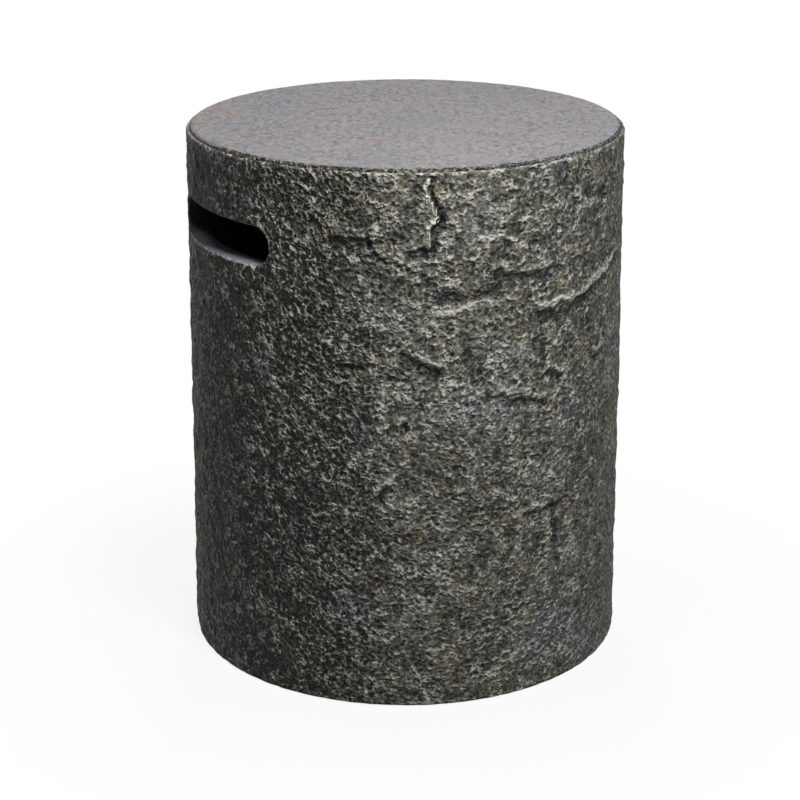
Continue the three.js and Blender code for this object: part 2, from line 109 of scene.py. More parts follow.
# Main breaks of the stone: a path, the hollows on its left and right hand as seen from outside, how
# proud its edge stands, and how far the hollows reach. A point of a path is a bearing in degrees and
# a share of the overall height; the rest are shares of the deepest hollow and of the widest one.
LEDGE_SHARES = (
    (((-25.2, 0.992), (-25.5, 0.98), (-26.3, 0.966), (-26.2, 0.956), (-25.2, 0.94),
      (-23.9, 0.924), (-23.8, 0.912), (-24.6, 0.904), (-25.7, 0.892), (-25, 0.876), (-25.2, 0.86)),
     0.95, 0, 1.3, 0.2),
    (((-31.5, 0.857), (-30, 0.864), (-28, 0.866), (-26, 0.862), (-25.2, 0.86)), 0, 0.6, 0.35, 0.3),
    (((-39, 0.88), (-38, 0.86), (-37.5, 0.848), (-35, 0.842), (-33, 0.838), (-31, 0.83),
      (-29, 0.824), (-26.5, 0.82), (-25.2, 0.814)), 0, 0.45, 0.6, 0.16),
    (((-31, 0.84), (-29.5, 0.836), (-26, 0.838), (-21, 0.842), (-16, 0.842), (-13, 0.844)),
     0.15, 0.15, 0.35, 0.22),
    (((-50, 0.882), (-44, 0.88), (-38, 0.882)), 0, 0.42, 0.25, 0.25),
    (((-13, 0.882), (-11, 0.881), (-8.5, 0.886), (-7, 0.88), (-5, 0.874), (-3, 0.866),
      (-1, 0.856), (0, 0.85)), 0.35, 0, 0.5, 0.35),
    (((-9, 0.822), (-6, 0.812), (-3, 0.806), (1, 0.805), (4, 0.807), (8, 0.809), (10, 0.812)),
     0, 0.55, 0.35, 0.32),
    (((-7, 0.82), (-4, 0.818), (-1, 0.824), (0.5, 0.832)), 0, 0.2, 0.3, 0.2),
    (((-24, 0.754), (-20, 0.756), (-14, 0.762), (-8, 0.766)), 0.5, 0, 0.4, 0.5),
    (((12.3, 0.99), (11.5, 0.968), (10.5, 0.956)), 0.42, 0.42, 0, 0.12),
    (((20, 0.91), (25, 0.902), (30, 0.896)), 0.75, 0, 0.4, 0.45),
    (((25.5, 0.892), (24.5, 0.84)), 0.3, 0.3, 0, 0.2),
    (((-47, 0.994), (-44, 0.97)), 0.2, 0.2, 0.4, 0.2),
    (((3, 0.742), (5, 0.736), (7, 0.734), (10, 0.738), (17, 0.738), (20, 0.744), (23, 0.752),
      (27, 0.76), (34, 0.774), (40, 0.79)), 0, 0.5, 0.6, 0.4),
    (((5, 0.717), (8, 0.716)), 0.3, 0.3, 0, 0.2),
    (((11.3, 0.714), (11.3, 0.692)), 0.3, 0.3, 0, 0.22),
    (((17.5, 0.729), (22, 0.729)), 0.3, 0.3, 0, 0.18),
    (((20, 0.704), (20.5, 0.684), (21, 0.664)), 0.33, 0.33, 0, 0.2),
    (((4.4, 0.68), (4, 0.66), (4.2, 0.636)), 0.45, 0.45, 0, 0.24),
    (((5, 0.676), (9, 0.676)), 0.1, 0.1, 0.35, 0.15),
    (((5.5, 0.616), (7.5, 0.624), (9, 0.62), (10, 0.61), (12, 0.608)), 0, 0.45, 0.45, 0.28),
    (((-1, 0.626), (0.5, 0.616), (1.2, 0.606)), 0, 0.3, 0.4, 0.2),
    (((-5, 0.58), (1, 0.578), (7, 0.574)), 0, 0.45, 0.4, 0.3),
    (((-10, 0.598), (-7, 0.598)), 0, 0.5, 0.4, 0.2),
    (((25, 0.62), (28, 0.624), (31, 0.626)), 0, 0.45, 0.4, 0.25),
    (((9, 0.566), (11, 0.55)), 0.2, 0.2, 0.35, 0.2),
    (((-30, 0.682), (-27, 0.664), (-23, 0.648)), 0, 0.7, 0.35, 0.38),
    (((-40, 0.698), (-35, 0.68)), 0.3, 0.3, 0, 0.26),
    (((-46.5, 0.656), (-43.5, 0.656)), 0, 0.5, 0.4, 0.2),
    (((-34.5, 0.632), (-31, 0.629)), 0.36, 0.36, 0, 0.16),
    (((-38.5, 0.624), (-37, 0.62)), 0.36, 0.36, 0, 0.14),
    (((-16, 0.66), (-14, 0.65), (-13, 0.632), (-13, 0.62)), 0.36, 0.36, 0, 0.15),
    (((-15, 0.686), (-13, 0.68)), 0.3, 0.3, 0, 0.16),
    (((-36, 0.54), (-33, 0.544), (-31, 0.554), (-30.5, 0.548)), 0, 0.45, 0.45, 0.26),
    (((-34, 0.574), (-31.5, 0.57)), 0.3, 0.3, 0, 0.16),
    (((-29.5, 0.582), (-27.5, 0.578)), 0.3, 0.3, 0, 0.14),
    (((-16.6, 0.21), (-16.2, 0.172), (-15.6, 0.134)), 0.36, 0.36, 0, 0.16),
    (((8.1, 0.354), (8.6, 0.32), (9.3, 0.29)), 0.6, 0, 0.35, 0.3),
    (((0.6, 0.362), (6, 0.363), (12.8, 0.364)), 0, 0.45, 0.4, 0.25),
    (((-38.9, 0.416), (-36, 0.434), (-32.9, 0.45)), 0, 0.45, 0.4, 0.3),
)

# The hidden sides carry the same kinds of breaks: degrees turned, hand (-1 is mirrored) and strength
LEDGE_TURNS = ((0, 1, 1.0), (104, -1, 0.5), (197, 1, 0.4))


def length(name, description, default):
    return FloatProperty(name=name, description=description, default=default,
                         subtype="DISTANCE", unit="LENGTH", precision=4)


def number(name, description, default):
    return FloatProperty(name=name, description=description, default=default)


def count(name, description, default):
    return IntProperty(name=name, description=description, default=default, min=1)


def angle(name, description, degrees):
    return FloatProperty(name=name, description=description, default=math.radians(degrees),
                         subtype="ANGLE", unit="ROTATION")


def colour(name, description, default):
    return FloatVectorProperty(name=name, description=description, default=default,
                               subtype="COLOR", size=3, min=0, max=1)


class DrumSizes(bpy.types.PropertyGroup):
    """Sizes of the drum wall and its openings"""

    overall_height: length("Overall height", "Floor to table top", 0.5)
    head_radius: length("Head radius", "Highest points of the stone at the rim", 0.2037)
    foot_radius: length("Foot radius", "Highest points of the stone at the floor end", 0.2088)
    standoff: length("Standoff", "Height of the wall's bottom edge above the floor", 0.001)
    thickness: length("Wall thickness", "Stone face to bore", 0.022)
    rim_top: length("Rim top", "Height of the lip round the slab", 0.4962)
    seat: length("Seat", "Height of the ledge that carries the slab", 0.494)
    rebate: length("Rebate radius", "Inside of the lip round the slab", 0.19954)
    arris: length("Arris", "Rounding of the drum's edges", 0.0014)
    columns: count("Columns", "Facets round the drum", 464)
    row_height: length("Row height", "Height of the stone face's facets", 0.00285)
    bore_row_height: length("Bore row height", "Height of the bore's facets", 0.034)
    hold_width: length("Hand hold width", "Across the slot", 0.157)
    hold_height: length("Hand hold height", "From floor to roof of the slot", 0.035)
    hold_corner: length("Hand hold corner", "Rounding of the slot's ends", 0.0162)
    hold_centre: length("Hand hold centre", "Middle of the slot above the floor", 0.4205)
    hold_lip: length("Hand hold lip", "Rounding of the slot's mouths", 0.0028)
    notch_width: length("Notch width", "Across the hose notch", 0.056)
    notch_height: length("Notch height", "Crown of the hose notch above the floor", 0.062)
    notch_lip: length("Notch lip", "Rounding of the notch's mouths", 0.0026)


class ReliefSizes(bpy.types.PropertyGroup):
    """Sizes of the split stone relief, all depths below the stone face"""

    set_back: length("Set back", "Least depth of the swells below the stone face", 0.0010)
    swell_depth: length("Swell depth", "Broad swells of the stone", 0.0005)
    swell_height: length("Swell height", "Height of one swell", 0.046)
    swells_around: count("Swells around", "Swells in one turn", 23)
    knob_depth: length("Knob depth", "Knobs on the swells", 0.0007)
    knob_height: length("Knob height", "Height of one knob", 0.019)
    knobs_around: count("Knobs around", "Knobs in one turn", 58)
    chip_depth: length("Chip depth", "Tilted chips left by the splitting", 0.0019)
    chip_height: length("Chip height", "Height of one chip", 0.0150)
    chips_around: count("Chips around", "Chips in one turn", 122)
    lean: number("Lean", "Sideways run of the chips for each unit of height", 0.38)
    grit_depth: length("Grit depth", "Finest lumps of the stone face", 0.0014)
    grit_height: length("Grit height", "Height of one lump", 0.0066)
    grits_around: count("Grits around", "Lumps in one turn", 196)
    ragged: length("Ragged edge", "How far the breaks wander to and fro", 0.0040)
    edge_fade: length("Edge fade", "The relief evens out over this distance from each arris", 0.009)
    hold_fade: length("Hand hold fade", "The relief evens out over this distance from a slot", 0.007)
    ledge_drop: length("Ledge drop", "Deepest ledge", 0.0034)
    ledge_lip: length("Ledge lip", "Width of the broken edge itself", 0.0030)
    ledge_reach: length("Ledge reach", "Width of the widest hollow beside a ledge", 0.042)
    ledge_end: length("Ledge end", "A ledge dies away over this distance", 0.008)


class SlabSizes(bpy.types.PropertyGroup):
    """Sizes of the top slab and its mortar"""

    thickness: length("Slab thickness", "Over the bore", 0.022)
    flange: length("Flange thickness", "Where the slab lies on the rim", 0.005)
    radius: length("Slab radius", "Outside of the slab", 0.19894)
    spigot: length("Spigot radius", "Thick middle that sits in the bore", 0.17976)
    shoulder: length("Shoulder", "Rounding of the slab's upper edge", 0.0034)
    spigot_break: length("Spigot break", "Chamfer under the slab", 0.003)
    sag: length("Trowel marks", "Depth of the shallow waves on the top", 0.00022)
    columns: count("Slab columns", "Facets round the slab", 240)
    ring: length("Ring spacing", "Distance between the slab's rings", 0.0058)
    mortar_inner: length("Mortar inner radius", "Inside of the mortar ring", 0.18376)
    mortar_outer: length("Mortar outer radius", "Outside of the mortar ring", 0.19754)
    mortar_wander: length("Mortar wander", "Unevenness of the mortar's edge", 0.0012)


class FootSizes(bpy.types.PropertyGroup):
    """Sizes of the pads, screws and anchors under the wall"""

    place: length("Foot place", "Distance of a foot from the axis", 0.1958)
    pad_radius: length("Pad radius", "Rubber pad", 0.006)
    pad_height: length("Pad height", "Floor to the roof of its pocket", 0.005)
    pad_edge: length("Pad edge", "Rounding of the pad", 0.0008)
    pad_rib: length("Pad rib", "Depth of the grooves under the pad", 0.0004)
    counterbore: length("Counterbore radius", "Recess for the screw head", 0.0034)
    pad_hole: length("Pad hole radius", "Hole for the screw", 0.00205)
    head_radius: length("Screw head radius", "Pan head", 0.0031)
    head_low: length("Screw head underside", "Head above the floor", 0.0009)
    head_seat: length("Screw head seat", "Top of the head above the floor", 0.0031)
    screw_tip: length("Screw tip", "Point above the floor", 0.0251)
    screw_point: length("Screw point", "Length of the tapered end", 0.004)
    core_radius: length("Core radius", "Root of the thread", 0.00132)
    thread_radius: length("Thread radius", "Crest of the thread", 0.00175)
    pitch: length("Thread pitch", "Rise of one turn", 0.0014)
    drive: length("Drive", "Half width of the cross recess", 0.0016)
    anchor_radius: length("Anchor radius", "Barbs of the nylon anchor", 0.00365)
    anchor_root: length("Anchor root radius", "Between the barbs", 0.0031)
    anchor_bore: length("Anchor bore radius", "Hole for the screw", 0.00205)
    anchor_top: length("Anchor top", "Upper end above the floor", 0.029)


class FinishColours(bpy.types.PropertyGroup):
    """Colours of the finishes"""

    # Hollow is the dark base coat in the stone's low spots, and also painted shade there, standing in for
    # the shadow of the fine relief
    hollow: colour("Hollow", "Dark base coat in the hollows of the stone", (0.050, 0.051, 0.043))
    body: colour("Body", "Stone between hollows and crests", (0.150, 0.149, 0.127))
    crest: colour("Crest", "Dry-brushed crests of the stone", (0.540, 0.533, 0.474))
    warm: colour("Warm tint", "Ochre washes on the stone", (0.200, 0.160, 0.095))
    cool: colour("Cool tint", "Slate washes on the stone", (0.115, 0.120, 0.160))
    cast: colour("Cast concrete", "Bare concrete inside the drum", (0.215, 0.228, 0.252))
    top: colour("Top", "Smooth top", (0.241, 0.227, 0.225))
    top_warm: colour("Top warm tint", "Reddish bloom on the top", (0.241, 0.198, 0.186))
    top_cool: colour("Top cool tint", "Grey bloom on the top", (0.201, 0.208, 0.227))
    shoulder: colour("Shoulder", "Dark band round the top", (0.100, 0.096, 0.090))
    mortar: colour("Mortar", "Mortar bed", (0.034, 0.033, 0.030))
    rubber: colour("Rubber", "Pads", (0.012, 0.012, 0.012))
    nylon: colour("Nylon", "Anchors", (0.62, 0.60, 0.52))
    steel: colour("Steel", "Screws", (0.55, 0.56, 0.57))


class StageSettings(bpy.types.PropertyGroup):
    """Camera, lamps and floor"""

    bearing: angle("Camera bearing", "Bearing from which the camera looks", -31)
    rise: angle("Camera rise", "Angle of the view above level", 19.59)
    distance: length("Camera distance", "From the point that it looks at", 2.014)
    aim_height: length("Aim height", "Height of the point that the camera looks at", 0.2237)
    aim_side: length("Aim side", "Sideways shift of that point", -0.00495)
    lens: number("Lens", "Focal length in millimetres", 93.33)
    key_power: number("Key power", "Soft box at the right, in watts", 23.5)
    back_power: number("Back power", "Soft box behind, in watts", 12.5)
    fill_power: number("Fill power", "Soft box at the left, in watts", 3.7)
    ambient: number("Ambient", "Strength of the surrounding light", 0.010)
    floor_radius: length("Floor radius", "Radius of the floor", 12)
    floor_white: number("Floor white", "Share of plain white in the floor's look", 0.88)


GROUPS = {"drum": DrumSizes, "relief": ReliefSizes, "slab": SlabSizes, "foot": FootSizes,
          "colours": FinishColours, "stage": StageSettings}


def settings(group):
    return getattr(bpy.context.scene, "tank_cover_" + group)


# Stone relief

def ease(value, low, high):
    share = np.clip((value - low) / (high - low), 0, 1)
    return share * share * (3 - 2 * share)


def lattice(column, row):
    wave = np.sin(column * 127.1 + row * 311.7) * 43758.5453
    return wave - np.floor(wave)


def between(lower_left, lower_right, upper_left, upper_right, along, rise):
    """Blend of four corner values at shares along and up their square"""
    lower = lower_left * (1 - along) + lower_right * along
    upper = upper_left * (1 - along) + upper_right * along
    return lower * (1 - rise) + upper * rise


def turn_noise(bearing, height, around, cell):
    """Smooth noise from 0 to 1, which closes on itself after one turn round the drum"""
    across, up = (bearing / TURN + 1) * around, height / cell
    column, row = np.floor(across), np.floor(up)
    corners = (lattice((column + i) % around, row + j) for i, j in ((0, 0), (1, 0), (0, 1), (1, 1)))
    return between(*corners, ease(across - column, 0, 1), ease(up - row, 0, 1))


def chip_noise(bearing, height, around, cell):
    """Tilted facets with worn edges between them, about -0.5 to 0.5"""
    across, up = (bearing / TURN + 1) * around, height / cell
    column, row = np.floor(across), np.floor(up)
    blend = 0.16
    total = np.zeros_like(across)
    weights = np.full_like(across, 1e-9)
    for i in (-1, 0, 1):
        for j in (-1, 0, 1):
            c, r = (column + i) % around, row + j
            dx = across - (column + i) - 0.15 - 0.7 * lattice(c + 17, r)
            dy = up - (row + j) - 0.15 - 0.7 * lattice(c, r + 29)
            tilt = (lattice(c + 5, r + 3) - 0.5) * dx + (lattice(c + 9, r + 7) - 0.5) * dy
            weight = np.exp(-(dx * dx + dy * dy) / blend)
            total += weight * (tilt + 0.6 * (lattice(c + 3, r + 11) - 0.5))
            weights += weight
    return total / weights


def ledge_depth(bearing, height, path, left, right, proud, reach):
    """Depth of one break: its edge stands proud, and the stone beside it rises back over the reach"""
    sizes, relief = settings("drum"), settings("relief")
    middle = math.radians(path[0][0])
    across = ((bearing - middle + math.pi) % TURN - math.pi) * sizes.foot_radius
    points = [((math.radians(b) - middle) * sizes.foot_radius, share * sizes.overall_height)
              for b, share in path]
    widest = reach * relief.ledge_reach + relief.ledge_end
    (west, low), (east, high) = np.min(points, axis=0) - widest, np.max(points, axis=0) + widest
    near = (across > west) & (across < east) & (height > low) & (height < high)
    at, up = across[near], height[near]
    nearest = np.full_like(at, np.inf)
    side, beyond = np.ones_like(at), np.zeros_like(at)
    for i, ((x0, z0), (x1, z1)) in enumerate(zip(points, points[1:])):
        dx, dz = x1 - x0, z1 - z0
        run = math.hypot(dx, dz)
        share = ((at - x0) * dx + (up - z0) * dz) / run ** 2
        inside = np.clip(share, 0, 1)
        distance = np.hypot(at - x0 - inside * dx, up - z0 - inside * dz)
        over = np.maximum(-share, 0) * (i == 0) + np.maximum(share - 1, 0) * (i + 2 == len(points))
        closer = distance < nearest
        nearest = np.where(closer, distance, nearest)
        side = np.where(closer, dx * (up - z0) - dz * (at - x0) > 0, side)
        beyond = np.where(closer, over * run, beyond)
    uneven = 0.35 + 1.3 * turn_noise(bearing[near], up, *LEDGE_CELLS)
    drop = np.where(side, left, right) * uneven
    lip = relief.ledge_lip
    shelf = np.where(drop > 0, lip, reach * relief.ledge_reach * 0.6)
    fall = ease(nearest, 0, lip) * (1 - ease(nearest, lip, lip + reach * relief.ledge_reach))
    depth = np.zeros_like(across)
    edge = proud * (1 - ease(nearest, 0, shelf))
    depth[near] = (drop * fall - edge) * (1 - ease(beyond, 0, relief.ledge_end))
    return depth * relief.ledge_drop


def turned_ledges():
    """Every ledge of the front, and its weaker turned copies on the hidden sides"""
    for turn, hand, strength in LEDGE_TURNS:
        for path, left, right, proud, reach in LEDGE_SHARES:
            steps = path if hand > 0 else path[::-1]
            if hand < 0:
                left, right = right, left
            steps = tuple((turn + hand * b, share) for b, share in steps)
            yield steps, left * strength, right * strength, proud * strength, reach


def face_radius(height):
    sizes = settings("drum")
    share = (height - sizes.standoff) / (sizes.overall_height - sizes.standoff)
    return sizes.foot_radius + (sizes.head_radius - sizes.foot_radius) * share


def mean_depth():
    relief = settings("relief")
    return relief.set_back + (relief.swell_depth + relief.knob_depth) / 2


def box_radius(bearing):
    """Distance from the axis to the sides of the CAD drum's box, less a hair"""
    across, back = np.sin(bearing), -np.cos(bearing)
    wide = np.where(across > 0, CAD_HIGH.x, -CAD_LOW.x) / np.maximum(np.abs(across), 1e-6)
    deep = np.where(back > 0, CAD_HIGH.y, -CAD_LOW.y) / np.maximum(np.abs(back), 1e-6)
    return np.minimum(wide, deep) - 0.05 * MM


def from_holds(bearing, height):
    """Distance from the mouth of the nearer hand hold"""
    sizes = settings("drum")
    across = sizes.foot_radius * np.abs(np.cos(bearing))
    beside = np.maximum(across - (sizes.hold_width / 2 - sizes.hold_corner), 0)
    above = np.maximum(np.abs(height - sizes.hold_centre) - (sizes.hold_height / 2 - sizes.hold_corner), 0)
    return np.maximum(np.hypot(beside, above) - sizes.hold_corner, 0)


def stone_depth(bearing, height):
    """Depth of the split stone below its highest points, and the part of it that the ledges make"""
    sizes, relief = settings("drum"), settings("relief")
    shift, lift = (
        ((turn_noise(bearing + far, height + far, *WANDER_CELLS) - 0.5) +
         (turn_noise(bearing + far, height + far, *WANDER_FINE_CELLS) - 0.5) * 0.9) * relief.ragged
        for far in (0, 1))
    around, up = bearing + shift / sizes.foot_radius, height + lift
    swell = relief.swell_depth * turn_noise(around, up, relief.swells_around, relief.swell_height)
    knob = relief.knob_depth * turn_noise(around, up, relief.knobs_around, relief.knob_height)
    ledges = sum(ledge_depth(around, up, *ledge) for ledge in turned_ledges())
    lean = relief.lean * (0.5 + 0.5 * np.cos(bearing + math.radians(100)))
    leaning = around + up * lean / sizes.foot_radius
    chips = relief.chip_depth * chip_noise(leaning, up, relief.chips_around, relief.chip_height)
    grit = relief.grit_depth * (turn_noise(bearing, height, relief.grits_around, relief.grit_height) - 0.5)
    to_arris = np.minimum(height - sizes.standoff, sizes.rim_top - height)
    by_hold = ease(from_holds(bearing, height), 0, relief.hold_fade)
    fade = ease(to_arris, 0, relief.edge_fade) * by_hold
    coarse = mean_depth() * (1 - fade) + (relief.set_back + swell + knob + ledges) * fade
    fine = (0.35 + 0.65 * ease(to_arris, 0, relief.edge_fade / 2)) * (0.04 + 0.96 * by_hold)
    return coarse + (chips + grit) * fine, ledges * fade


class ReliefChart:
    """The relief on a chart of the unrolled drum, read back at any bearing and height"""

    def __init__(self, columns, rows):
        sizes = settings("drum")
        self.low, self.high = sizes.standoff, sizes.rim_top
        self.columns, self.rows = columns, rows
        bearings = (np.arange(columns) / columns - 0.5) * TURN
        heights = np.linspace(self.low, self.high, rows)
        bearing, height = np.meshgrid(bearings, heights)
        self.depth, self.ledge = stone_depth(bearing, height)
        broad = self.softened(self.depth, 36)
        self.hollow = self.depth - broad
        self.basin = broad - self.softened(broad, 160)

    @staticmethod
    def softened(chart, passes):
        for _ in range(passes):
            sides = np.roll(chart, 1, 1) + np.roll(chart, -1, 1)
            chart = (chart * 2 + sides) / 4
            framed = np.pad(chart, ((1, 1), (0, 0)), mode="edge")
            chart = (chart * 2 + framed[:-2] + framed[2:]) / 4
        return chart

    def read(self, chart, bearing, height):
        across = (bearing / TURN + 0.5) * self.columns
        up = np.clip((height - self.low) / (self.high - self.low), 0, 1) * (self.rows - 1)
        column, row = np.floor(across).astype(int), np.minimum(np.floor(up).astype(int), self.rows - 2)
        left, right = column % self.columns, (column + 1) % self.columns
        return between(chart[row, left], chart[row, right], chart[row + 1, left], chart[row + 1, right],
                       across - column, up - row)


# Mesh tools

def outline(points):
    """Flat face on the XZ plane from radius and height points, whose spin makes a turned piece"""
    bm = bmesh.new()
    bm.faces.new([bm.verts.new((radius, 0, height)) for radius, height in points])
    return bm


def round_corner(bm, radius, height, offset, segments):
    """Rounds the outline's corner nearest to a radius and height"""
    corner = min(bm.verts, key=lambda v: (v.co - Vector((radius, 0, height))).length)
    bmesh.ops.bevel(bm, geom=[corner], offset=offset, offset_type="OFFSET", segments=segments,
                    profile=0.5, affect="VERTICES", material=-1)


def edge_rise(edge):
    return abs(edge.verts[0].co.z - edge.verts[1].co.z)


def split_edges(bm, edges, spacing):
    for edge in edges:
        cuts = math.ceil(edge.calc_length() / spacing) - 1
        if cuts > 0:
            bmesh.ops.subdivide_edges(bm, edges=[edge], cuts=cuts)


def spin_outline(bm, columns):
    """Turns the outline into a closed piece about the vertical axis: an eighth is spun, then doubled"""
    bmesh.ops.delete(bm, geom=list(bm.faces), context="FACES_ONLY")
    on_axis = [e for e in bm.edges if all(abs(v.co.x) < 1e-7 for v in e.verts)]
    bmesh.ops.delete(bm, geom=on_axis, context="EDGES")
    bmesh.ops.spin(bm, geom=list(bm.verts) + list(bm.edges), cent=(0, 0, 0), axis=(0, 0, 1),
                   dvec=(0, 0, 0), angle=TURN / 8, steps=columns // 8, use_merge=False)
    for share in (8, 4, 2):
        copied = bmesh.ops.duplicate(bm, geom=list(bm.verts) + list(bm.edges) + list(bm.faces))
        verts = [g for g in copied["geom"] if isinstance(g, bmesh.types.BMVert)]
        bmesh.ops.rotate(bm, verts=verts, cent=(0, 0, 0), matrix=Matrix.Rotation(TURN / share, 3, "Z"))
    bmesh.ops.remove_doubles(bm, verts=list(bm.verts), dist=1e-6)
    bmesh.ops.recalc_face_normals(bm, faces=list(bm.faces))


def linked(name, data):
    """New object in the scene"""
    made = bpy.data.objects.new(name, data)
    bpy.context.scene.collection.objects.link(made)
    return made


def finish_mesh(bm, name, material, crease_degrees=35):
    """New object from a bmesh, smooth but for its creases"""
    mesh = bpy.data.meshes.new(name)
    bm.to_mesh(mesh)
    bm.free()
    mesh.materials.append(material)
    smooth_but_creases(mesh, crease_degrees)
    return linked(name, mesh)


def smooth_but_creases(mesh, degrees):
    mesh.shade_smooth()
    mesh.set_sharp_from_angle(angle=math.radians(degrees))


def coordinates(mesh):
    flat = np.empty(len(mesh.vertices) * 3)
    mesh.vertices.foreach_get("co", flat)
    return flat.reshape(-1, 3)


def round_axis(places):
    """Bearing, radius and height of each place"""
    x, y, z = places.T
    return np.arctan2(x, -y), np.hypot(x, y), z.copy()


def place_vertices(mesh, places):
    mesh.vertices.foreach_set("co", np.ascontiguousarray(places).ravel())
    mesh.update()


def write_attribute(mesh, name, values):
    made = mesh.attributes.new(name, "FLOAT", "POINT")
    made.data.foreach_set("value", values.astype(np.float32))


def cut_away(piece, cutter):
    """Takes the cutter's volume out of the piece, and deletes the cutter"""
    cut = piece.modifiers.new("cut", "BOOLEAN")
    cut.operation, cut.solver, cut.object = "DIFFERENCE", "MANIFOLD", cutter
    bpy.context.view_layer.update()
    evaluated = piece.evaluated_get(bpy.context.evaluated_depsgraph_get())
    mesh = bpy.data.meshes.new_from_object(evaluated)
    piece.modifiers.clear()
    piece.data = mesh
    bpy.data.objects.remove(cutter)


def mounted(piece, node):
    """The piece rides on the drum and stands for its CAD node, which is hidden"""
    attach(piece, "root")
    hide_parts(node)


# Finishes

class Value:
    """A socket of a finish; sums and products of it add Math nodes"""

    def __init__(self, finish, socket):
        self.finish, self.socket = finish, socket

    def math(self, operation, *values):
        return self.finish.node("ShaderNodeMath", {"operation": operation}, dict(enumerate(values)))

    def __add__(self, other):
        return self.math("ADD", self, other)

    def __sub__(self, other):
        return self.math("SUBTRACT", self, other)

    def __mul__(self, other):
        return self.math("MULTIPLY", self, other)

    def __rsub__(self, other):
        return self.math("SUBTRACT", other, self)

    def __abs__(self):
        return self.math("ABSOLUTE", self)

    __radd__ = __add__
    __rmul__ = __mul__

    def clamped(self):
        return self.finish.node("ShaderNodeClamp", {}, {"Value": self})

    def eased(self, low, high, start=0.0, end=1.0):
        """Smooth step of the value from start, at low, to end, at high"""
        return self.finish.node("ShaderNodeMapRange", {"interpolation_type": "SMOOTHSTEP"},
                                {"Value": self, 1: low, 2: high, 3: start, 4: end})


class Finish:
    """The nodes of a material or of the world, under construction"""

    def __init__(self, owner, surface="Principled BSDF"):
        owner.use_nodes = True
        self.owner, self.tree = owner, owner.node_tree
        self.surface = self.tree.nodes[surface]

    def node(self, kind, settings, inputs, output=0):
        """Adds a node: its settings first, then its sockets' values or links"""
        made = self.tree.nodes.new(kind)
        for key, value in settings.items():
            setattr(made, key, value)
        for key, value in inputs.items():
            self.feed(made.inputs[key], value)
        return Value(self, made.outputs[output])

    def feed(self, socket, value):
        if isinstance(value, Value):
            self.tree.links.new(value.socket, socket)
        elif socket.type == "RGBA" and len(value) == 3:
            socket.default_value = (*value, 1)
        else:
            socket.default_value = value

    def place(self, scale=1000.0):
        """Place on the piece, in millimetres"""
        here = self.node("ShaderNodeTexCoord", {}, {}, "Object")
        return self.stretched(here, (scale, scale, scale))

    def along(self, place, axis):
        return self.node("ShaderNodeSeparateXYZ", {}, {0: place}, axis)

    def noise(self, place, size, detail=2.0, roughness=0.5, output="Fac"):
        """Noise whose lumps are about a size across, in millimetres"""
        return self.node("ShaderNodeTexNoise", {}, {"Vector": place, "Scale": 1 / size, "Detail": detail,
                                                    "Roughness": roughness}, output)

    def vector(self, operation, *values, output=0):
        settings = {"operation": operation}
        return self.node("ShaderNodeVectorMath", settings, dict(enumerate(values)), output)

    def stretched(self, place, squash):
        return self.vector("MULTIPLY", place, squash)

    def turned(self, place, turn):
        return self.node("ShaderNodeVectorRotate", {"rotation_type": "Z_AXIS"},
                         {"Vector": place, "Angle": turn})

    def leaned(self, place, lean, squash):
        """The place turned about the drum's axis as it rises, so that a pattern's strokes lean"""
        turn = self.along(place, "Z") * (lean * MM / settings("drum").foot_radius)
        return self.stretched(self.turned(place, turn), (1, 1, squash))

    def shifted(self, place, size, reach):
        """The place pushed about by noise, up to a reach in millimetres"""
        drift = self.noise(place, size, 1.0, output="Color")
        push = self.vector("MULTIPLY_ADD", drift, (2 * reach,) * 3, (-reach,) * 3)
        return self.vector("ADD", place, push)

    def mix(self, share, first, second):
        return self.node("ShaderNodeMix", {"data_type": "RGBA"}, {0: share, 6: first, 7: second}, 2)

    def attribute(self, name):
        return self.node("ShaderNodeAttribute", {"attribute_name": name}, {}, "Fac")

    def bump(self, height, distance):
        return self.node("ShaderNodeBump", {}, {"Height": height, "Distance": distance})

    def seen(self):
        """1 to the camera, and in reflections and glass; 0 to the light that falls on the object"""
        rays = ("Is Camera Ray", "Is Glossy Ray", "Is Transmission Ray")
        return sum(self.node("ShaderNodeLightPath", {}, {}, ray) for ray in rays).clamped()

    def paint(self, **inputs):
        """Feeds the shader's sockets, named with underscores for spaces, and gives their owner"""
        for key, value in inputs.items():
            self.feed(self.surface.inputs[key.replace("_", " ")], value)
        return self.owner


def new_finish(name):
    """A material's nodes, and the place on the piece"""
    finish = Finish(bpy.data.materials.new(name))
    return finish, finish.place()


def scaled(colour, share):
    return tuple(share * c for c in colour)


